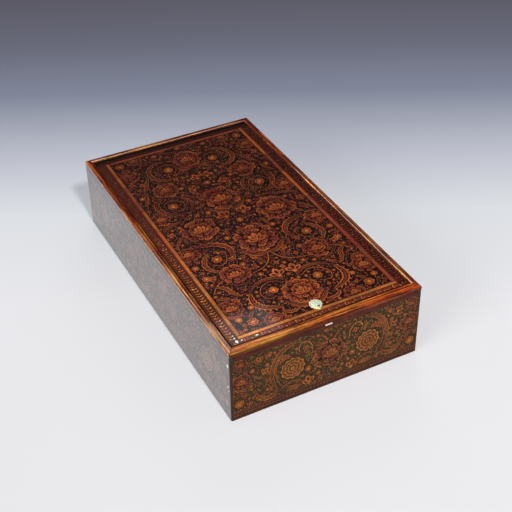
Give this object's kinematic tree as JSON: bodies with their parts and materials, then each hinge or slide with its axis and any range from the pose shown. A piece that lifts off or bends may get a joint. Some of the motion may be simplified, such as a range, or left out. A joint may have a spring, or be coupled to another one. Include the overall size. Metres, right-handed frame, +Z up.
{
  "type": "writing box",
  "caption": "Low rectangular lacquered writing box with a painted floral lid that slides out to the front, rounded rim mouldings and a small pearl thumb piece.",
  "frame": {"origin": "on the standing plane, under the middle of the box", "axes": "+Z up, +Y to the back, +X to the right seen from the front; the lid draws out along -Y"},
  "size_m": [0.173, 0.31, 0.0729],
  "materials": {
    "case_lacquer": "dark painted floral ground under clear lacquer",
    "lid_lacquer": "dark painted floral ground under clear lacquer",
    "rim_lacquer": "orange-red and gold paint under clear lacquer",
    "pin_wood": "plain wood",
    "nacre": "polished mother-of-pearl",
    "bone": "polished bone",
    "brass": "dull brass"
  },
  "bodies": {
    "case": {"front_wall": "case_lacquer", "back_wall": "case_lacquer", "left_wall": "case_lacquer", "right_wall": "case_lacquer", "bottom_board": "case_lacquer", "left_rim": "rim_lacquer", "right_rim": "rim_lacquer", "back_rim": "rim_lacquer", "corner_pins": "pin_wood", "bottom_pins": "pin_wood"},
    "lid": {"lid_panel": "lid_lacquer", "lid_bead": "rim_lacquer", "bead_pins": "pin_wood", "thumb_piece": "nacre", "thumb_pin": "brass", "bone_slip": "bone"}
  },
  "joints": [
    {"name": "lid_slide", "type": "slide", "parent": "case", "child": "lid", "axis": [0, -1, 0], "range_m": [0, 0.3]}
  ]
}
